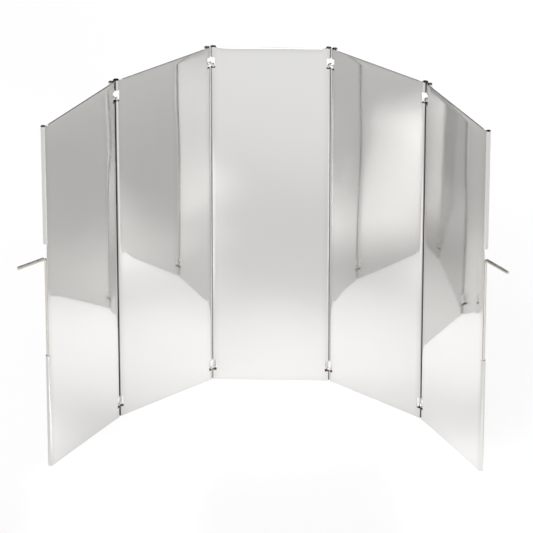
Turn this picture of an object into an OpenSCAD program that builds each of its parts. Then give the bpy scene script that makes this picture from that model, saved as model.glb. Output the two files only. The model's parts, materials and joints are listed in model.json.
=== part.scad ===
// Folding stove windscreen: five mirror-polished sheet panels joined by wire staples,
// with a sliding wire stake down each outer edge. Millimetres, +Z up. The origin is the
// middle of the centre panel's foot, and the sheltered side faces -Y.

/* [Panels] */
// Height of every panel
panel_h = 250; // [230:1:300]
// Width of one panel over its two curled edges
panel_w = 79.6; // [60:0.1:110]
// Thickness of the sheet
sheet_t = 0.4; // [0.3:0.05:0.6]
// Depth of the hem folded behind the top and bottom edges
hem_h = 4; // [2:0.5:6]
// Bare sheet between the end of a hem and the curl beside it
hem_gap = 2; // [1:0.5:5]

/* [Wire and curls] */
// Diameter of the wire that the stakes are bent from
stake_d = 2.3; // [1.8:0.1:3]
// Diameter of the wire that the staples are bent from
staple_d = 1.8; // [1.4:0.1:2.2]
// Radial room for a stake inside its curl
stake_room = 0.1; // [0.05:0.05:0.5]
// Radial room for a staple inside its curl
staple_room = 0.65; // [0.1:0.05:0.8]
// How far round the wire a curl is rolled, in degrees
curl_turn = 305; // [280:1:310]

/* [Hinges] */
// Gap between the curls of neighbouring panels
hinge_gap = 0.4; // [0.3:0.1:1.5]
// Length of the curl left at the very top and bottom of a hinge
collar_h = 7.2; // [5:0.1:12]
// Height of the window cut in the curls to show the staple
window_h = 7.8; // [7.5:0.1:12]
// How far the window is cut into the sheet past the curl's axis
window_reach = 1.2; // [0.6:0.1:2]
// Length of a staple's leg inside its curl
leg_l = 25; // [12:1:40]
// Straight wire between a curl and the bend of a top staple
crown_lift = 1; // [0.3:0.1:2]
// Room under the bend of a bottom staple
crown_room = 0.3; // [0.3:0.1:0.6]

/* [Outer edges] */
// Length of the curl at the top of an outer edge
upper_curl_l = 85.5; // [60:0.5:100]
// Length of the curl at the bottom of an outer edge
lower_curl_l = 83; // [60:1:100]
// Rounding of the upper curl's lower corner
curl_corner_r = 2; // [1:0.5:2.5]
// How far the sheet runs past the stake's axis between the two curls
edge_lip = 1; // [0.5:0.1:1.5]
// Height of the slit between that lip and a curl
slit_h = 0.3; // [0.2:0.1:1]

/* [Stakes] */
// How far the left handle hangs below its upper curl
handle_drop = 10; // [6:0.5:20]
// How far the right stake is pushed up
right_stake_lift = 2.5; // [0:0.5:4]
// Length of the handles past the bend
handle_l = 20; // [12:0.5:30]
// Bend radius at the middle of the wire
bend_r = 2.6; // [2:0.1:5]
// Swing of the left handle behind its panel's plane, in degrees
left_handle_swing = 18; // [0:1:30]
// Swing of the right handle behind its panel's plane, in degrees
right_handle_swing = 10; // [0:1:30]
// Length of the sharpened point
point_l = 7; // [4:0.5:12]
// Diameter of the blunt end of the point
point_d = 0.7; // [0.4:0.1:1.2]

/* [Set-up angles] */
// Fold between the left outer and left inner panels, in degrees
left_outer_fold = 17; // [0:0.1:40]
// Fold between the left inner and centre panels, in degrees
left_inner_fold = 41; // [0:0.1:60]
// Fold between the centre and right inner panels, in degrees
right_inner_fold = 38.4; // [0:0.1:60]
// Fold between the right inner and right outer panels, in degrees
right_outer_fold = 22; // [0:0.1:40]

/* [Hidden] */
$fn = 48;
cut = 1;
steel = [0.82, 0.82, 0.81];
wire_steel = [0.66, 0.63, 0.60];
stake_r = stake_d / 2;
staple_r = staple_d / 2;
bore_r = staple_r + staple_room;
curl_r = bore_r + sheet_t;
outer_bore_r = stake_r + stake_room;
// From a panel's middle to the axis of a hinge's curl, and to that of a stake's curl
axis_x = panel_w / 2 - curl_r;
outer_axis_x = panel_w / 2 - outer_bore_r - sheet_t;
// Plane of the hinge axes, behind the middle of the hemmed foot
axis_y = curl_r - sheet_t;
// A stake's axis behind the plane of its panel's hinge axis
outer_axis_y = outer_bore_r - bore_r;
leg_span = 2 * curl_r + hinge_gap;
// Lower end of the long curl on a hinged edge
hinge_curl_z = collar_h + window_h;
upper_curl_z = panel_h - upper_curl_l;
handle_z = upper_curl_z - handle_drop;

function heading(a) = [cos(a), sin(a)];
function edge_x(is_hinged) = is_hinged ? axis_x : outer_axis_x;

// Headings of the panels and of the staples between them, from +X
left_inner_a = left_inner_fold;
left_outer_a = left_inner_fold + left_outer_fold;
right_inner_a = -right_inner_fold;
right_outer_a = -right_inner_fold - right_outer_fold;
left_inner_link_a = left_inner_fold / 2;
left_outer_link_a = left_inner_fold + left_outer_fold / 2;
right_inner_link_a = -right_inner_fold / 2;
right_outer_link_a = -right_inner_fold - right_outer_fold / 2;

// Hinge axes in plan, outwards from the centre panel on each side; the last one on a side lies
// where another hinge would, and places the outer panel and its stake
left_inner_near = [-axis_x, axis_y] - leg_span * heading(left_inner_link_a);
left_inner_far = left_inner_near - 2 * axis_x * heading(left_inner_a);
left_outer_near = left_inner_far - leg_span * heading(left_outer_link_a);
left_outer_far = left_outer_near - 2 * axis_x * heading(left_outer_a);
right_inner_near = [axis_x, axis_y] + leg_span * heading(right_inner_link_a);
right_inner_far = right_inner_near + 2 * axis_x * heading(right_inner_a);
right_outer_near = right_inner_far + leg_span * heading(right_outer_link_a);
right_outer_far = right_outer_near + 2 * axis_x * heading(right_outer_a);

// Puts children, made about the middle between two axes, between the axes p and q.
module between(p, q, angle) {
  middle = (p + q) / 2;
  translate([middle.x, middle.y, 0])
    rotate(angle)
      children();
}

// An open curl rolled behind the sheet's right edge, which ends at x, from z upwards.
module curl(x, bore, z, height) {
  translate([x, bore - bore_r, z])
    rotate(-90)
      rotate_extrude(angle = curl_turn)
        translate([bore, 0])
          square([sheet_t, height]);
}

// The three curls of a hinged right-hand edge: a long one between two collars.
module hinge_curls() {
  curl(axis_x, bore_r, 0, collar_h);
  curl(axis_x, bore_r, hinge_curl_z, panel_h - 2 * hinge_curl_z);
  curl(axis_x, bore_r, panel_h - collar_h, collar_h);
}

// The two curls of an outer right-hand edge, with the lip of flat sheet between them.
module outer_curls() {
  curl(outer_axis_x, outer_bore_r, 0, lower_curl_l);
  curl(outer_axis_x, outer_bore_r, upper_curl_z, upper_curl_l);
  translate([outer_axis_x - cut, -curl_r, lower_curl_l + slit_h])
    cube([cut + edge_lip, sheet_t, upper_curl_z - lower_curl_l - 2 * slit_h]);
}

module edge(is_hinged) {
  if (is_hinged)
    hinge_curls();
  else
    outer_curls();
}

// A hem folded flat behind the sheet, from z upwards.
module hem(z) {
  half = axis_x - curl_r - hem_gap;
  translate([-half, -bore_r, z])
    cube([2 * half, sheet_t, hem_h]);
}

// Cuts a window in the sheet beside the right-hand axis, from z upwards.
module window_cut(z) {
  translate([axis_x - window_reach, -curl_r - cut, z])
    cube([window_reach + cut, sheet_t + 2 * cut, window_h]);
}

// Rounds the outer lower corner of a curl that ends at z.
module corner_cut(z) {
  outer = panel_w / 2;
  translate([0, curl_r + cut, z])
    rotate([90, 0, 0])
      linear_extrude(2 * curl_r + 2 * cut)
        difference() {
          translate([outer - curl_corner_r, 0])
            square([curl_corner_r + cut, curl_corner_r]);
          translate([outer - curl_corner_r, curl_corner_r])
            circle(curl_corner_r);
        }
}

// Cuts in a right-hand edge: two windows for a hinge, one rounded corner for a stake.
module edge_cuts(is_hinged) {
  if (is_hinged) {
    window_cut(collar_h);
    window_cut(panel_h - hinge_curl_z);
  } else {
    corner_cut(upper_curl_z);
  }
}

// One panel about the middle between its hinge axes, with the sheltered face towards -Y.
module panel(left_is_hinged, right_is_hinged) {
  difference() {
    union() {
      translate([-edge_x(left_is_hinged), -curl_r, 0])
        cube([edge_x(left_is_hinged) + edge_x(right_is_hinged), sheet_t, panel_h]);
      edge(right_is_hinged);
      mirror([1, 0, 0])
        edge(left_is_hinged);
      hem(0);
      hem(panel_h - hem_h);
    }
    edge_cuts(right_is_hinged);
    mirror([1, 0, 0])
      edge_cuts(left_is_hinged);
  }
}

// A staple about the middle between its legs, which hang below the bend that starts at z.
module staple(z, leg) {
  half = leg_span / 2;
  for (side = [-1, 1])
    translate([side * half, 0, z - leg])
      cylinder(r = staple_r, h = leg);
  translate([0, 0, z])
    rotate([90, 0, 0])
      rotate_extrude(angle = 180)
        translate([half, 0])
          circle(staple_r);
}

// The top staple's bend stands in the upper window, with its legs down in the curls.
module top_staple() {
  staple(panel_h - hinge_curl_z + crown_lift, leg_l + crown_lift);
}

// The bottom staple hangs in the lower window, with its legs up in the curls.
module bottom_staple() {
  bend_z = collar_h + crown_room + leg_span / 2 + staple_r;
  mirror([0, 0, 1])
    staple(-bend_z, leg_l + hinge_curl_z - bend_z);
}

// A stake about its own axis, standing on its point, with the handle towards +X.
module stake() {
  bend_z = handle_z - bend_r;
  cylinder(r1 = point_d / 2, r2 = stake_r, h = point_l);
  translate([0, 0, point_l])
    cylinder(r = stake_r, h = bend_z - point_l);
  translate([bend_r, 0, bend_z])
    rotate([90, 0, 180])
      rotate_extrude(angle = 90)
        translate([bend_r, 0])
          circle(stake_r);
  translate([bend_r, 0, handle_z])
    rotate([0, 90, 0])
      cylinder(r = stake_r, h = handle_l);
}

module centre_panel() {
  color(steel)
    translate([0, axis_y, 0])
      panel(true, true);
}

module left_inner_panel() {
  color(steel)
    between(left_inner_near, left_inner_far, left_inner_a)
      panel(true, true);
}

module left_outer_panel() {
  color(steel)
    between(left_outer_near, left_outer_far, left_outer_a)
      panel(false, true);
}

module right_inner_panel() {
  color(steel)
    between(right_inner_near, right_inner_far, right_inner_a)
      panel(true, true);
}

module right_outer_panel() {
  color(steel)
    between(right_outer_near, right_outer_far, right_outer_a)
      panel(true, false);
}

module left_inner_link() {
  color(wire_steel)
    between([-axis_x, axis_y], left_inner_near, left_inner_link_a)
      children();
}

module left_outer_link() {
  color(wire_steel)
    between(left_inner_far, left_outer_near, left_outer_link_a)
      children();
}

module right_inner_link() {
  color(wire_steel)
    between([axis_x, axis_y], right_inner_near, right_inner_link_a)
      children();
}

module right_outer_link() {
  color(wire_steel)
    between(right_inner_far, right_outer_near, right_outer_link_a)
      children();
}

module left_inner_top_staple() {
  left_inner_link()
    top_staple();
}

module left_inner_bottom_staple() {
  left_inner_link()
    bottom_staple();
}

module left_outer_top_staple() {
  left_outer_link()
    top_staple();
}

module left_outer_bottom_staple() {
  left_outer_link()
    bottom_staple();
}

module right_inner_top_staple() {
  right_inner_link()
    top_staple();
}

module right_inner_bottom_staple() {
  right_inner_link()
    bottom_staple();
}

module right_outer_top_staple() {
  right_outer_link()
    top_staple();
}

module right_outer_bottom_staple() {
  right_outer_link()
    bottom_staple();
}

module left_stake() {
  color(wire_steel)
    between(left_outer_near, left_outer_far, left_outer_a)
      translate([-outer_axis_x, outer_axis_y, 0])
        rotate(180 - left_handle_swing)
          stake();
}

module right_stake() {
  color(wire_steel)
    between(right_outer_near, right_outer_far, right_outer_a)
      translate([outer_axis_x, outer_axis_y, right_stake_lift])
        rotate(right_handle_swing)
          stake();
}

centre_panel();
left_inner_panel();
left_outer_panel();
right_inner_panel();
right_outer_panel();
left_inner_top_staple();
left_inner_bottom_staple();
left_outer_top_staple();
left_outer_bottom_staple();
right_inner_top_staple();
right_inner_bottom_staple();
right_outer_top_staple();
right_outer_bottom_staple();
left_stake();
right_stake();
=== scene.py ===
# %% [markdown]
# # A folding stove windscreen
# Five panels of mirror-polished sheet stand in an arc around a camp stove. Wire staples join
# their rolled edges, and a wire stake runs down each outer edge into the ground.
# The solids already stand in the scene as a fixed frame. This lesson gives each of them a thinner,
# softer and shinier double, and every double moves with the solid that it stands for.

# %% Load the frame
import json
import math

import bpy
from mathutils import Matrix, Vector


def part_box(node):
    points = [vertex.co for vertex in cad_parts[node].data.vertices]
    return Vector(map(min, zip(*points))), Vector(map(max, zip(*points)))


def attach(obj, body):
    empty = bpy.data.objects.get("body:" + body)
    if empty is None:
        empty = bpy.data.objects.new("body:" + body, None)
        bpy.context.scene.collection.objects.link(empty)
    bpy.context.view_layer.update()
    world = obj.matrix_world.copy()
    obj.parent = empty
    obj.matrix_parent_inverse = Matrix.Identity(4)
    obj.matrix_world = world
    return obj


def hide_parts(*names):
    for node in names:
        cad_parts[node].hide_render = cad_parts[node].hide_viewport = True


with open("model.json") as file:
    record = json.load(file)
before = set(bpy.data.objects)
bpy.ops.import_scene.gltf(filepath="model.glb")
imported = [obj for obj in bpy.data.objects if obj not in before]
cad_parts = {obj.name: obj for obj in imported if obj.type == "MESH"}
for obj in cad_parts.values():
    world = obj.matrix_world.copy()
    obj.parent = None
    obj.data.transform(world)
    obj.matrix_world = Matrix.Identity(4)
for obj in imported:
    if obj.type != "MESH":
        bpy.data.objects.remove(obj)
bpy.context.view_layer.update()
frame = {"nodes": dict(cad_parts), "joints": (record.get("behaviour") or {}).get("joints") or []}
mm = 0.001

# %% [markdown]
# ## Where the panels stand
# Every panel hangs between two upright lines, the middles of its two rolled edges. Those lines are
# also what the panels turn about, so the joints hold them, and nothing has to be measured again.
# Only the two outermost edges have no hinge. There the stake stands in a tighter roll, so the point
# of the stake marks the middle of that roll. The line where a hinge would be lies a little beside
# it, and the difference between the two rolls says where.

# %% Upright lines of the rolled edges
hinges = [joint for joint in frame["joints"] if joint["type"] == "hinge"]
hinge_line = {hinge["name"]: Vector(hinge["pos_m"]) for hinge in hinges}
up = Vector((0, 0, 1))
hinge_roll = 1.95 * mm
stake_roll = 1.65 * mm
end_slack = 0.1 * mm


def stake_points(side):
    """The corners of one stake's solid."""
    return [vertex.co.copy() for vertex in frame["nodes"][side + "_stake"].data.vertices]


def average(points):
    return sum(points, Vector((0, 0, 0))) / len(points)


def stake_line(side):
    """The middle of the blunt point that a stake stands on."""
    points = stake_points(side)
    foot = min(point.z for point in points)
    return average([point for point in points if point.z < foot + end_slack])


def spare_line(side, hinge):
    """Where an outer panel's second hinge would be, worked out from its stake's line."""
    stake = stake_line(side)
    inward = (hinge - stake).xy.to_3d().normalized()
    behind = up.cross(inward) if side == "left" else inward.cross(up)
    return stake + (hinge_roll - stake_roll) * (inward + behind)


left_spare = spare_line("left", hinge_line["left_outer_turn"])
right_spare = spare_line("right", hinge_line["right_outer_turn"])
panel_lines = {
    "left_outer": (left_spare, hinge_line["left_outer_turn"]),
    "left_inner": (hinge_line["left_outer_link_turn"], hinge_line["left_wing_fold"]),
    "centre": (hinge_line["left_inner_link_turn"], hinge_line["right_inner_link_turn"]),
    "right_inner": (hinge_line["right_wing_fold"], hinge_line["right_outer_link_turn"]),
    "right_outer": (hinge_line["right_outer_turn"], right_spare),
}
for name, (left, right) in panel_lines.items():
    print(name, "stands", round((right - left).xy.length / mm, 2), "mm between its lines")

# %% [markdown]
# ## The sizes of the sheet
# The height and the width between the lines come from the solids. The sheet, the hems and the cuts
# in the edges are named here, because a thin double has to be folded and cut in the same places:
# a window at both ends of each hinge, and two slits in each outer edge. Between the slits the sheet
# stays flat and ends in a narrow lip, and the handle of the stake can move behind it.

# %% Sheet sizes
sheet = 0.4 * mm
hem_depth = 4 * mm
hem_gap = 2 * mm
collar = 7.2 * mm
window = 7.8 * mm
window_reach = 1.2 * mm
upper_roll = 85.5 * mm
lower_roll = 83 * mm
slit = 0.3 * mm
lip = 1 * mm
roll_corner = 2 * mm
roll_turn = math.radians(305)

panel_low, panel_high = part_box("centre_panel")
panel_height = panel_high.z - panel_low.z
line_x = hinge_line["right_inner_link_turn"].x
roll_middle = hinge_roll - sheet / 2
stake_roll_middle = stake_roll - sheet / 2
stake_line_x = line_x + hinge_roll - stake_roll
cut_x = line_x - window_reach
hem_x = line_x - hinge_roll - hem_gap
hem_step = 0.3 * mm
upper_roll_z = panel_height - upper_roll
lip_low = lower_roll + slit
lip_high = upper_roll_z - slit
print("sheet:", round(2 * (line_x + hinge_roll) / mm, 1), "x", round(panel_height / mm, 1), "mm")

# %% [markdown]
# ## Ruling the sheet
# A real panel starts as a flat blank, ruled into lines where it is folded, rolled or cut. The double
# is ruled the same way. One list of columns runs across the sheet from the free end of one roll to
# the free end of the other, and one list of rows runs from the folded-in end of the bottom hem to
# that of the top hem. Each crossing gets a place in space, and cells that lie in a cut are left out.

# %% Columns across the blank
column_pitch = 2.5 * mm
row_pitch = 5 * mm
roll_steps = 40
fold_radius = 0.26 * mm
fold_steps = 8


def ruled(stops, pitch):
    """Every stop, with evenly spaced lines between neighbours that are more than a pitch apart."""
    lines = [stops[0]]
    for start, end in zip(stops, stops[1:]):
        count = max(1, math.ceil((end - start) / pitch))
        lines += [start + (end - start) * step / count for step in range(1, count + 1)]
    return lines


def rolled(step, middle_x, radius):
    """A line of the right-hand roll, which starts at the flat sheet and ends behind it."""
    angle = roll_turn * step / roll_steps - math.pi / 2
    return middle_x + radius * math.cos(angle), radius * (1 + math.sin(angle)) - roll_middle


right_roll = [rolled(step, line_x, roll_middle) for step in range(1, roll_steps + 1)]
left_roll = [(-x, y) for x, y in reversed(right_roll)]
flat_stops = [-line_x, -cut_x, -hem_x - hem_step, -hem_x, hem_x, hem_x + hem_step, cut_x, line_x]
flat = [(x, -roll_middle) for x in ruled(flat_stops, column_pitch)]
columns = left_roll + flat + right_roll
roll_pitch = roll_turn * stake_roll_middle / roll_steps
lip_steps = round(lip / roll_pitch)


def roll_step(column):
    """How many lines a column lies beyond the flat of the sheet, 0 on the flat."""
    return max(0, roll_steps - column, column + 1 - roll_steps - len(flat))


print("columns:", len(columns), "of which", 2 * roll_steps, "lie in the rolls")

# %% Rows up the blank
fold_z = panel_height - sheet / 2 - fold_radius
hem_rows = []
for step in range(1, fold_steps + 1):
    angle = math.pi * step / fold_steps
    hem_rows.append((fold_z + fold_radius * math.sin(angle), fold_radius * (1 - math.cos(angle))))
hem_rows += [(z, 2 * fold_radius) for z in (fold_z - hem_depth / 2, panel_height - hem_depth)]

row_stops = [0, collar, collar + window, lower_roll, lip_low, lip_high, upper_roll_z]
row_stops += [panel_height - collar - window, panel_height - collar, panel_height]
sheet_rows = [(z, 0.0) for z in ruled(row_stops, row_pitch)]
bottom_hem = [(panel_height - z, behind) for z, behind in reversed(hem_rows)]
rows = bottom_hem + sheet_rows + hem_rows
first_row = len(bottom_hem)
last_row = first_row + len(sheet_rows) - 1
print("rows:", len(rows), "of which", 2 * len(hem_rows), "lie in the hems")

# %% [markdown]
# ## From blank to panel
# Polished sheet this thin is never quite flat, and a mirror shows it: straight things bend a little
# in the reflection. So each panel gets shallow dents of its own, less than a fifth of a millimetre
# deep, which fade out beside the stiff rolls and hems. They are real shape and no trick of the finish.
# Two more values are kept at each point, and the finish reads them later: how much the metal was
# worked there, because rolls and folds lose some of their polish, and how much painted shade goes
# there: a near-black colour on the side of a hinged roll that faces its neighbour, for the shade in
# the groove between two rolls. The outer grooves get darker painted shade than the inner ones, and
# where the shade is darker it spreads further.

# %% Dents, worked metal and painted groove shade
dent_depth = 0.16 * mm
wave_across = 52
wave_up = 21
slant_across = 17
slant_up = 34
panel_shifts = (1.7, 2.3, 0.9)
cross_share = 0.55
roll_fade = 9 * mm
hem_fade = 70 * mm
worked_fade = 3 * mm
hem_wear = 0.6
# Painted shade in the hinge grooves: where round a roll it starts and ends, in radians from the front.
shade_start = 0.65
shade_spread = 0.2
shade_rise = 0.4
shade_end = 2.6
shade_fall = 0.6
# Painted shade in the hinge grooves: how dark each panel's left and right groove is painted.
edge_shade = {
    "left_outer": (0, 0),
    "left_inner": (1, 0.1),
    "centre": (0.15, 0.3),
    "right_inner": (0.25, 1),
    "right_outer": (0, 0),
}


def ease(value):
    """0 to 1, with a soft start and a soft end."""
    value = min(1, max(0, value))
    return value * value * (3 - 2 * value)


def dent(x, z, number):
    """How far the flat of a panel stands behind its true plane."""
    first, second, third = (shift * number for shift in panel_shifts)
    cross = math.sin(x * wave_across + first) * math.cos(z * wave_up + second)
    slant = math.sin(z * slant_up + x * slant_across + third)
    off_roll = ease((line_x - abs(x)) / roll_fade)
    off_hem = ease(min(z, panel_height - z) / hem_fade)
    return dent_depth * off_roll * off_hem * (cross_share * cross + (1 - cross_share) * slant)


def worked(x, z):
    """1 on a roll or a fold, fading to 0 on the flat of the sheet."""
    beside_roll = ease(1 - (line_x - abs(x)) / worked_fade)
    beside_hem = ease(1 - min(z, panel_height - z) / worked_fade)
    return max(beside_roll, hem_wear * beside_hem)


def grime(x, y, name):
    """How much painted shade darkens the side of a hinged roll that faces its neighbour."""
    share = edge_shade[name][0 if x < 0 else 1]
    if abs(x) < line_x:
        return 0
    turn = math.atan2(abs(x) - line_x, -y)
    rising = ease((turn - shade_start + shade_spread * share) / shade_rise)
    falling = ease((shade_end - turn) / shade_fall)
    return share * rising * falling


print("dents reach", dent_depth / mm, "mm")

# %% Cuts in the edges
hair = 0.01 * mm


def is_cut(column, z, hinged):
    """True where the sheet right of a column is cut away; hinged says which kind of edge it is."""
    step = max(roll_step(column), roll_step(column + 1))
    if hinged:
        x = (columns[column][0] + columns[column + 1][0]) / 2
        in_window = collar < min(z, panel_height - z) < collar + window
        return in_window and (step > 0 or abs(x) > cut_x)
    if lip_low < z < lip_high:
        return step > lip_steps
    return step > 0 and lower_roll < z < upper_roll_z


def corner_lift(x, z, hinged):
    """Rounds the outer lower corner of the upper roll on an outer edge."""
    reach = abs(x) - (line_x + hinge_roll - roll_corner)
    if hinged or reach <= 0 or abs(z - upper_roll_z) > hair:
        return 0
    return roll_corner - math.sqrt(roll_corner ** 2 - reach ** 2)


def place(column, row, number, hinged):
    """Where a crossing of the ruled blank ends up on the finished panel."""
    x, y = columns[column]
    z, behind = rows[row]
    step = roll_step(column)
    if step and not hinged:
        out, y = rolled(step, stake_line_x, stake_roll_middle)
        if lip_low - hair < z < lip_high + hair:
            out, y = stake_line_x + step * roll_pitch, -roll_middle
        x = math.copysign(out, x)
    has_hem = abs(x) < hem_x + hair
    if has_hem and row == first_row:
        z = panel_height - fold_z
    if has_hem and row == last_row:
        z = fold_z
    z += corner_lift(x, z, hinged)
    return Vector((x, y + behind + dent(x, z, number), z))


print("windows:", window / mm, "mm high, slits:", slit / mm, "mm")

# %% [markdown]
# ## Building one panel
# The cells that are kept become faces of a surface in the middle of the sheet, and the Solidify
# modifier gives that surface its thickness. Thickening a surface is safer than modelling two
# skins by hand: the two sides can never drift apart. A fine Bevel then takes the sharpness off
# the sheared edges, so that they catch a thin line of light, as cut sheet does.

# %% Panel builder
edge_round = 0.07 * mm
edge_segments = 2
edge_angle = math.radians(60)


def panel_cells(hinged_left, hinged_right):
    """The kept cells of the ruled blank, as column and row."""
    for column in range(len(columns) - 1):
        x = (columns[column][0] + columns[column + 1][0]) / 2
        hinged = hinged_left if x < 0 else hinged_right
        for row in range(len(rows) - 1):
            in_hem = row < first_row or row >= last_row
            z = (rows[row][0] + rows[row + 1][0]) / 2
            if in_hem and abs(x) < hem_x:
                yield column, row
            elif not in_hem and not is_cut(column, z, hinged):
                yield column, row


def panel_mesh(name, number, hinged_left, hinged_right):
    """One panel about the middle between its lines, with the sheltered face towards -Y."""
    corners = {}
    points = []
    painted_shade = []
    faces = []
    for column, row in panel_cells(hinged_left, hinged_right):
        face = []
        for key in ((column, row), (column + 1, row), (column + 1, row + 1), (column, row + 1)):
            if key not in corners:
                hinged = hinged_left if columns[key[0]][0] < 0 else hinged_right
                corners[key] = len(points)
                points.append(place(*key, number, hinged))
                painted_shade.append(grime(*columns[key[0]], name))
            face.append(corners[key])
        faces.append(face)
    mesh = bpy.data.meshes.new(name)
    mesh.from_pydata(points, [], faces)
    mesh.shade_smooth()
    wear = mesh.attributes.new("worked", "FLOAT", "POINT")
    wear.data.foreach_set("value", [worked(point.x, point.z) for point in points])
    # Stores where painted shade darkens the hinge grooves.
    groove = mesh.attributes.new("grime", "FLOAT", "POINT")
    groove.data.foreach_set("value", painted_shade)
    return mesh


def standing(start, end):
    """A frame with X from one upright line to another, Y to the back, and its foot on the floor."""
    across = (end - start).xy.to_3d().normalized()
    middle = ((start + end) / 2).xy.to_3d()
    turn = Matrix((across, up.cross(across), up)).transposed()
    return Matrix.Translation(middle) @ turn.to_4x4()


def dress(piece, body, node):
    """Puts a finished piece in the scene, in the place of one solid."""
    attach(piece, body)
    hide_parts(node)


def build_panel(body, number):
    mesh = panel_mesh(body, number, body != "left_outer", body != "right_outer")
    panel = bpy.data.objects.new(body + "_sheet", mesh)
    bpy.context.scene.collection.objects.link(panel)
    panel.matrix_world = standing(*panel_lines[body])
    thick = panel.modifiers.new("thickness", "SOLIDIFY")
    thick.thickness = sheet
    thick.offset = 0
    soft = panel.modifiers.new("sheared edges", "BEVEL")
    soft.width = edge_round
    soft.segments = edge_segments
    soft.limit_method = "ANGLE"
    soft.angle_limit = edge_angle
    soft.harden_normals = True
    dress(panel, body, body + "_panel")
    return panel


panels = [build_panel(body, number) for number, body in enumerate(panel_lines)]
print("panels:", [panel.name for panel in panels])

# %% [markdown]
# ## Bending wire
# Staples are bent from thin drawn wire and stakes from a thicker one. A path of points and a
# radius at each point is all that such a piece needs: a ring of corners is carried along the path,
# and the ends close with a flat face inside a rounded rim, tumbled smooth after the cutter.
# Blender's bevelled curves could do this too, but a ring made by hand can carry two values to the
# finish: how far along the wire it lies, and where round the wire each corner sits.

# %% Wire sizes
stake_radius = 1.15 * mm
staple_radius = 0.9 * mm
wire_sides = 28
rim = ((0.00, 0.55), (0.07, 0.80), (0.20, 0.95), (0.58, 1.00))
bend_radius = 2.6 * mm
point_length = 7 * mm
point_radius = 0.35 * mm
bend_steps = 18
sharp_angle = math.radians(40)


# %% Wire builder
def arc(middle, start, end_way, turn):
    """Points on an arc about a middle, from a start point towards end_way, without the start itself."""
    spoke = start - middle
    side = end_way.normalized() * spoke.length
    steps = range(1, bend_steps + 1)
    angles = [turn * step / bend_steps for step in steps]
    return [middle + spoke * math.cos(angle) + side * math.sin(angle) for angle in angles]


def wire_rings(path, radii):
    """A ring of corners round each point of a path, without twisting from one to the next."""
    ways = []
    for index in range(len(path)):
        before = path[max(0, index - 1)]
        after = path[min(len(path) - 1, index + 1)]
        ways.append((after - before).normalized())
    side = ways[0].orthogonal().normalized()
    corners = []
    lines = []
    travelled = 0.0
    for index, (point, way, radius) in enumerate(zip(path, ways, radii)):
        side = (side - way * side.dot(way)).normalized()
        across = way.cross(side)
        travelled += (point - path[index - 1]).length if index else 0.0
        for step in range(wire_sides):
            angle = 2 * math.pi * step / wire_sides
            corners.append(point + radius * (side * math.cos(angle) + across * math.sin(angle)))
            lines.append((math.cos(angle), math.sin(angle), travelled / max(radii)))
    return corners, lines


def wire_faces(ring_count):
    faces = [list(reversed(range(wire_sides)))]
    for ring in range(ring_count - 1):
        for step in range(wire_sides):
            here = ring * wire_sides + step
            beside = ring * wire_sides + (step + 1) % wire_sides
            faces.append([here, beside, beside + wire_sides, here + wire_sides])
    faces.append(list(range((ring_count - 1) * wire_sides, ring_count * wire_sides)))
    return faces


def rounded_end(end, inward, radius):
    """The rings of a tumbled end, from the flat face to where the wire is full."""
    places = [end + inward * radius * run for run, share in rim]
    return places, [radius * share for run, share in rim]


def pointed_end(end, inward, radius):
    """The rings of a ground point, which is blunt by a fraction of a millimetre."""
    return [end, end + inward * point_length], [point_radius, radius]


def cut_wire(path, radius, first_end=rounded_end):
    """A path and its radii, with a shaped end at both ends."""
    start, start_radii = first_end(path[0], (path[1] - path[0]).normalized(), radius)
    end, end_radii = rounded_end(path[-1], (path[-2] - path[-1]).normalized(), radius)
    inside = path[1:-1]
    radii = start_radii + [radius] * len(inside) + end_radii[::-1]
    return start + inside + end[::-1], radii


def build_wire(name, path, radii, body, node):
    corners, lines = wire_rings(path, radii)
    mesh = bpy.data.meshes.new(name)
    mesh.from_pydata(corners, [], wire_faces(len(path)))
    mesh.shade_smooth()
    mesh.set_sharp_from_angle(angle=sharp_angle)
    drawn = mesh.attributes.new("drawn", "FLOAT_VECTOR", "POINT")
    drawn.data.foreach_set("vector", [value for line in lines for value in line])
    wire = bpy.data.objects.new(name, mesh)
    bpy.context.scene.collection.objects.link(wire)
    dress(wire, body, node)
    return wire


print("wire:", 2 * staple_radius / mm, "and", 2 * stake_radius / mm, "mm across")

# %% [markdown]
# ## Staples
# Each hinge is two staples. Their legs stand in the rolls of two neighbouring panels, and the bend
# shows in a window. A staple turns about both of its legs, so the pair in a hinge is a body of its
# own, and the panels can fold flat on each other. The heights come from the solids' boxes.

# %% Staples in the hinges
link_lines = {
    "left_outer": (hinge_line["left_outer_link_turn"], hinge_line["left_outer_turn"]),
    "left_inner": (hinge_line["left_inner_link_turn"], hinge_line["left_wing_fold"]),
    "right_inner": (hinge_line["right_inner_link_turn"], hinge_line["right_wing_fold"]),
    "right_outer": (hinge_line["right_outer_link_turn"], hinge_line["right_outer_turn"]),
}


def at_height(line, z):
    return Vector((line.x, line.y, z))


def build_staple(hinge, is_top):
    node = hinge + ("_top_staple" if is_top else "_bottom_staple")
    low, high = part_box(node)
    start, end = link_lines[hinge]
    half = (end - start).xy.length / 2
    bend_z = high.z - half - staple_radius if is_top else low.z + half + staple_radius
    leg_z = low.z if is_top else high.z
    corner = at_height(start, bend_z)
    bend = arc(at_height((start + end) / 2, bend_z), corner, up if is_top else -up, math.pi)
    path = [at_height(start, leg_z), corner] + bend + [at_height(end, leg_z)]
    path, radii = cut_wire(path, staple_radius)
    return build_wire(node + "_wire", path, radii, hinge + "_link", node)


staples = [build_staple(hinge, is_top) for hinge in link_lines for is_top in (True, False)]
print("staples:", len(staples))

# %% [markdown]
# ## Stakes
# A stake is a length of thicker wire with a ground point and a bent handle. It slides in the lower
# roll of an outer edge. The handle turns a little out of the plane of its panel, and the solid says
# which way: its far end is the corner of the solid that lies furthest from the stake's line.


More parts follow.
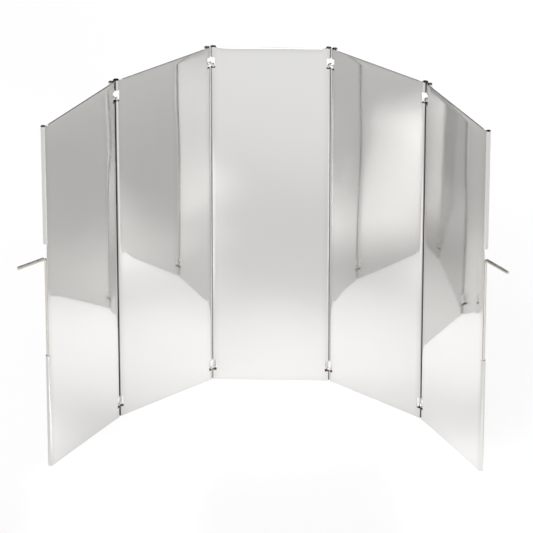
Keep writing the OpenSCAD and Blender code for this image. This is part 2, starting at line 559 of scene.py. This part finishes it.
# %% Stakes in the outer edges
def handle_end(side, foot):
    """The middle of the handle's cut end, level with the floor."""
    points = stake_points(side)
    reach = max((point - foot).xy.length for point in points)
    return average([point for point in points if (point - foot).xy.length > reach - end_slack])


def build_stake(side):
    node = side + "_stake"
    foot = at_height(stake_line(side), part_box(node)[0].z)
    end = at_height(handle_end(side, foot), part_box(node)[1].z - stake_radius)
    way = (end - foot).xy.to_3d().normalized()
    top = at_height(foot, end.z - bend_radius)
    bend = arc(top + way * bend_radius, top, up, math.pi / 2)
    path, radii = cut_wire([foot, top] + bend + [end], stake_radius, pointed_end)
    return build_wire(node + "_wire", path, radii, node, node)


stakes = [build_stake(side) for side in ("left", "right")]
print("stakes:", [stake.name for stake in stakes])

# %% [markdown]
# ## A way to write finishes
# A finish in Blender is a net of nodes. Long nets are hard to read as code, so two small classes do
# the wiring: one holds a socket and lets it take part in Python sums, and the other adds any node
# by its type, its settings and what goes into its sockets.


# %% Sockets that add up
class Shade:
    """A shader socket that can stand in a Python sum."""

    def __init__(self, finish, socket):
        self.finish = finish
        self.socket = socket

    def out(self, name):
        """Another output of the same node."""
        return Shade(self.finish, self.socket.node.outputs[name])

    def math(self, operation, first, second):
        return self.finish.node("ShaderNodeMath", {"operation": operation}, {0: first, 1: second})

    def __add__(self, other):
        return self.math("ADD", self, other)

    def __sub__(self, other):
        return self.math("SUBTRACT", self, other)

    def __rsub__(self, other):
        return self.math("SUBTRACT", other, self)

    def __mul__(self, other):
        return self.math("MULTIPLY", self, other)

    __radd__ = __add__
    __rmul__ = __mul__


class Finish:
    """The nodes of one material, or of the world around the object."""

    def __init__(self, owner):
        owner.use_nodes = True
        self.tree = owner.node_tree
        self.tree.nodes.clear()

    def node(self, kind, settings=None, inputs=None):
        made = self.tree.nodes.new(kind)
        for name, value in (settings or {}).items():
            if name == "stops":
                set_stops(made.color_ramp, value)
            else:
                setattr(made, name, value)
        for name, value in (inputs or {}).items():
            if isinstance(value, Shade):
                self.tree.links.new(value.socket, made.inputs[name])
            else:
                made.inputs[name].default_value = value
        return Shade(self, made.outputs[0]) if made.outputs else None


def set_stops(ramp, stops):
    """Places and colours along a colour ramp."""
    while len(ramp.elements) < len(stops):
        ramp.elements.new(1)
    for element, (place_on_ramp, colour) in zip(ramp.elements, stops):
        element.position = place_on_ramp
        element.color = colour


def grey(level):
    return (level, level, level, 1)


print("finishes are ready to be written")

# %% [markdown]
# ## Mirror-polished sheet
# Polished steel gives back about seven tenths of the light that falls on it, a little less of the
# blue. What makes it look real is what disturbs the mirror: fine lines left by the polishing wheel,
# smears from hands and cloths, and a duller strip along rolls and folds. All of these change how
# rough the mirror is, and hardly what colour it is. Only the painted shade in the hinge grooves is
# dark: a near-black colour that stands in for the shade between two rolls.

# %% Polished sheet
clean_steel = (0.70, 0.695, 0.685, 1)
worked_steel = (0.58, 0.57, 0.55, 1)
# A near-black colour painted into the hinge grooves as shade.
groove_shade_colour = (0.035, 0.030, 0.027, 1)
worked_tint = 0.35
groove_shade_cover = 0.95
wheel_stretch = (900, 900, 12)
smear_scale = 24.0
smear_stops = [(0.52, grey(0)), (0.74, grey(1))]
mirror_rough = 0.03
wheel_rough = 0.012
smear_rough = 0.025
worked_rough = 0.06
groove_shade_rough = 0.15
line_height = 0.05 * mm
wheel_bump = 0.02


def polished_sheet():
    material = bpy.data.materials.new("polished_sheet")
    steel = Finish(material)
    spot = steel.node("ShaderNodeTexCoord").out("Object")
    stretched = steel.node("ShaderNodeMapping", {}, {"Vector": spot, "Scale": wheel_stretch})
    lines = steel.node("ShaderNodeTexNoise", {}, {"Vector": stretched, "Scale": 1.0, "Detail": 2.0})
    cloud = steel.node("ShaderNodeTexNoise", {}, {"Vector": spot, "Scale": smear_scale, "Detail": 5.0})
    smear = steel.node("ShaderNodeValToRGB", {"stops": smear_stops}, {"Fac": cloud})
    wear = steel.node("ShaderNodeAttribute", {"attribute_name": "worked"}).out("Fac")
    # The mask of painted shade in the hinge grooves.
    painted_shade = steel.node("ShaderNodeAttribute", {"attribute_name": "grime"}).out("Fac")
    roughness = mirror_rough + wheel_rough * lines + smear_rough * smear
    roughness = roughness + worked_rough * wear + groove_shade_rough * painted_shade
    clean = steel.node(
        "ShaderNodeMix",
        {"data_type": "RGBA"},
        {"Factor": wear * worked_tint, 6: clean_steel, 7: worked_steel},
    ).out(2)
    # Mixes painted shade, a near-black colour, into the grooves between two rolls.
    colour = steel.node(
        "ShaderNodeMix",
        {"data_type": "RGBA"},
        {"Factor": painted_shade * groove_shade_cover, 6: clean, 7: groove_shade_colour},
    ).out(2)
    bump = steel.node(
        "ShaderNodeBump",
        {},
        {"Height": lines, "Strength": wheel_bump, "Distance": line_height},
    )
    surface = steel.node(
        "ShaderNodeBsdfPrincipled",
        {},
        {"Base Color": colour, "Metallic": 1.0, "Roughness": roughness, "Normal": bump},
    )
    steel.node("ShaderNodeOutputMaterial", {}, {"Surface": surface})
    return material


sheet_finish = polished_sheet()
for panel in panels:
    panel.data.materials.append(sheet_finish)
print("polished sheet on", len(panels), "panels")

# %% [markdown]
# ## Drawn wire
# Wire is pulled through a die, which leaves fine lines along its whole length. The lines follow the
# wire round its bends, so they are worked out from the values that were kept while the rings were
# made: a place round the wire, and a distance along it that is squeezed to make long lines.

# %% Drawn wire
dull_wire = (0.60, 0.555, 0.515, 1)
bright_wire = (0.70, 0.665, 0.63, 1)
die_stretch = (7, 7, 0.12)
patch_scale = 0.35
wire_rough = 0.09
die_rough = 0.10
patch_rough = 0.06
die_bump = 0.15


def drawn_wire():
    material = bpy.data.materials.new("drawn_wire")
    steel = Finish(material)
    spot = steel.node("ShaderNodeAttribute", {"attribute_name": "drawn"}).out("Vector")
    stretched = steel.node("ShaderNodeMapping", {}, {"Vector": spot, "Scale": die_stretch})
    lines = steel.node("ShaderNodeTexNoise", {}, {"Vector": stretched, "Scale": 1.0, "Detail": 4.0})
    patches = steel.node(
        "ShaderNodeTexNoise",
        {},
        {"Vector": spot, "Scale": patch_scale, "Detail": 3.0},
    )
    roughness = wire_rough + die_rough * lines + patch_rough * patches
    colour = steel.node(
        "ShaderNodeMix",
        {"data_type": "RGBA"},
        {"Factor": patches, 6: dull_wire, 7: bright_wire},
    ).out(2)
    bump = steel.node(
        "ShaderNodeBump",
        {},
        {"Height": lines, "Strength": die_bump, "Distance": line_height},
    )
    surface = steel.node(
        "ShaderNodeBsdfPrincipled",
        {},
        {"Base Color": colour, "Metallic": 1.0, "Roughness": roughness, "Normal": bump},
    )
    steel.node("ShaderNodeOutputMaterial", {}, {"Surface": surface})
    return material


wire_finish = drawn_wire()
for wire in staples + stakes:
    wire.data.materials.append(wire_finish)
print("drawn wire on", len(staples + stakes), "pieces")

# %% [markdown]
# ## Floor and room
# A mirror shows its surroundings, so the floor and the room are half of how the panels look. The
# floor is plain and white. The camera sees it mostly as an even white with a little of the object's
# shadow in it. Rays that left a mirror see more of the lit floor, so the panels show where it is
# bright and where it is in shade. The room is dark, with one bright side high in front of the
# object, so that hems and bent wires show a bright line between two dark ones.

# %% White floor and dark room
floor_size = 30
floor_white = 0.9
white_for_eye = 0.85
white_in_mirror = 0.45
fill_light = 0.32
dark_wall = 0.16
high_stops = [(0.10, grey(0)), (0.35, grey(1))]
front_stops = [(0.35, grey(0)), (0.75, grey(1))]


def build_floor():
    half = floor_size / 2
    mesh = bpy.data.meshes.new("floor")
    corners = [(-half, -half, 0), (half, -half, 0), (half, half, 0), (-half, half, 0)]
    mesh.from_pydata(corners, [], [(0, 1, 2, 3)])
    floor = bpy.data.objects.new("floor", mesh)
    bpy.context.scene.collection.objects.link(floor)
    material = bpy.data.materials.new("white_floor")
    paint = Finish(material)
    ray = paint.node("ShaderNodeLightPath")
    mirrored = ray.out("Is Glossy Ray") + ray.out("Is Transmission Ray")
    share = ray.out("Is Camera Ray") * white_for_eye + mirrored * white_in_mirror
    lit = paint.node("ShaderNodeBsdfDiffuse", {}, {"Color": grey(floor_white)})
    plain = paint.node("ShaderNodeEmission", {}, {"Color": grey(1), "Strength": 1.0})
    both = paint.node("ShaderNodeMixShader", {}, {0: share, 1: lit, 2: plain})
    paint.node("ShaderNodeOutputMaterial", {}, {"Surface": both})
    mesh.materials.append(material)


def build_room():
    world = bpy.data.worlds.new("dark_room")
    room = Finish(world)
    way = room.node("ShaderNodeSeparateXYZ", {}, {0: room.node("ShaderNodeTexCoord")})
    high = room.node("ShaderNodeValToRGB", {"stops": high_stops}, {"Fac": way.out("Z")})
    forward = 0.5 - 0.5 * way.out("Y")
    front = room.node("ShaderNodeValToRGB", {"stops": front_stops}, {"Fac": forward})
    walls = dark_wall + (1 - dark_wall) * high * front
    ray = room.node("ShaderNodeLightPath")
    mirrored = ray.out("Is Glossy Ray") + ray.out("Is Transmission Ray")
    backdrop = room.node("ShaderNodeBackground", {}, {"Color": grey(1), "Strength": 1.0})
    seen = room.node("ShaderNodeBackground", {}, {"Color": walls, "Strength": 1.0})
    fill = room.node("ShaderNodeBackground", {}, {"Color": grey(1), "Strength": fill_light})
    others = room.node("ShaderNodeMixShader", {}, {0: mirrored, 1: fill, 2: seen})
    is_eye = ray.out("Is Camera Ray")
    both = room.node("ShaderNodeMixShader", {}, {0: is_eye, 1: others, 2: backdrop})
    room.node("ShaderNodeOutputWorld", {}, {"Surface": both})
    bpy.context.scene.world = world


build_floor()
build_room()
print("floor:", floor_size, "m wide")

# %% [markdown]
# ## Light
# One wide soft box hangs high in front of the object, and a smaller one stands behind it for the
# backs of the panels. Small lamps put soft pools of light on the floor beside and between the
# panels. The pools are there for what the mirrors show: bright floor next to plainer floor. Each
# entry gives where a lamp hangs, where it points, how many degrees its cone is wide, and its watts.

# %% Soft boxes and floor lamps
aim_point = (0, 0, 0.1)
pool_softness = 1
pool_lamp_radius = 0.03
soft_boxes = {
    "front_box": ((-0.50, -1.60, 2.00), 1.2, 41),
    "back_box": ((0.70, 1.10, 0.90), 0.7, 14),
}
left_mast = (-0.60, -0.90, 1.80)
right_mast = (0.80, -0.90, 1.80)
middle_mast = (0.10, -0.80, 2.20)
pools = {
    "left_near_pool": (left_mast, (-0.098, -0.145, 0), 3.0, 283),
    "left_mid_pool": (left_mast, (-0.098, -0.215, 0), 3.0, 306),
    "left_far_pool": (left_mast, (-0.100, -0.290, 0), 3.4, 351),
    "right_near_pool": (middle_mast, (0.118, -0.095, 0), 2.2, 125),
    "right_mid_pool": (middle_mast, (0.132, -0.150, 0), 2.6, 175),
    "right_far_pool": (right_mast, (0.150, -0.205, 0), 3.0, 167),
    "right_wide_pool": (right_mast, (0.205, -0.310, 0), 5.6, 135),
    "front_pool": ((0.10, -1.40, 2.00), (-0.010, -0.430, 0), 9.0, 44),
    "inner_pool": (middle_mast, (-0.010, -0.040, 0), 4.8, 115),
    "inner_right_pool": (middle_mast, (0.068, -0.056, 0), 2.8, 19),
    "back_left_pool": ((-0.90, 1.20, 1.80), (-0.300, 0.330, 0), 9.0, 60),
    "back_right_pool": ((0.90, 1.20, 1.80), (0.280, 0.420, 0), 8.0, 60),
}


def add_lamp(lamp, position, target):
    """Hangs a lamp so that it faces a point."""
    hung = bpy.data.objects.new(lamp.name, lamp)
    bpy.context.scene.collection.objects.link(hung)
    hung.location = position
    hung.rotation_euler = (Vector(target) - Vector(position)).to_track_quat("-Z", "Y").to_euler()


def box_lamp(name, size, power):
    lamp = bpy.data.lights.new(name, "AREA")
    lamp.size = size
    lamp.energy = power
    return lamp


def pool_lamp(name, degrees, power):
    lamp = bpy.data.lights.new(name, "SPOT")
    lamp.energy = power
    lamp.spot_size = math.radians(degrees)
    lamp.spot_blend = pool_softness
    lamp.shadow_soft_size = pool_lamp_radius
    return lamp


for name, (position, size, power) in soft_boxes.items():
    add_lamp(box_lamp(name, size, power), position, aim_point)
for name, (position, target, degrees, power) in pools.items():
    add_lamp(pool_lamp(name, degrees, power), position, target)
print("lamps:", len(soft_boxes) + len(pools))

# %% [markdown]
# ## Camera
# The picture was taken with a long lens from well above the object, so its upright edges stay almost
# parallel. The camera stands in front of the centre panel, a little to the right of it.

# %% Long lens from above
camera_distance = 3.0642
camera_height = 1.7392
camera_aside = -0.00281
camera_yaw = math.radians(-1.57)
camera_pitch = math.radians(28.33)
camera_lens = 350.8
sensor_width = 36


def build_camera():
    level = Vector((math.sin(camera_yaw), math.cos(camera_yaw), 0))
    right = Vector((math.cos(camera_yaw), -math.sin(camera_yaw), 0))
    look = level * math.cos(camera_pitch) - up * math.sin(camera_pitch)
    data = bpy.data.cameras.new("camera")
    data.lens = camera_lens
    data.sensor_width = sensor_width
    camera = bpy.data.objects.new("camera", data)
    bpy.context.scene.collection.objects.link(camera)
    turn = Matrix((right, right.cross(look), -look)).transposed()
    stand = up * camera_height - level * camera_distance + right * camera_aside
    camera.matrix_world = Matrix.Translation(stand) @ turn.to_4x4()
    bpy.context.scene.camera = camera
    return camera


camera = build_camera()
bpy.context.scene.view_settings.view_transform = "Standard"
print("camera:", round(camera.matrix_world.translation.length, 2), "m from the origin")
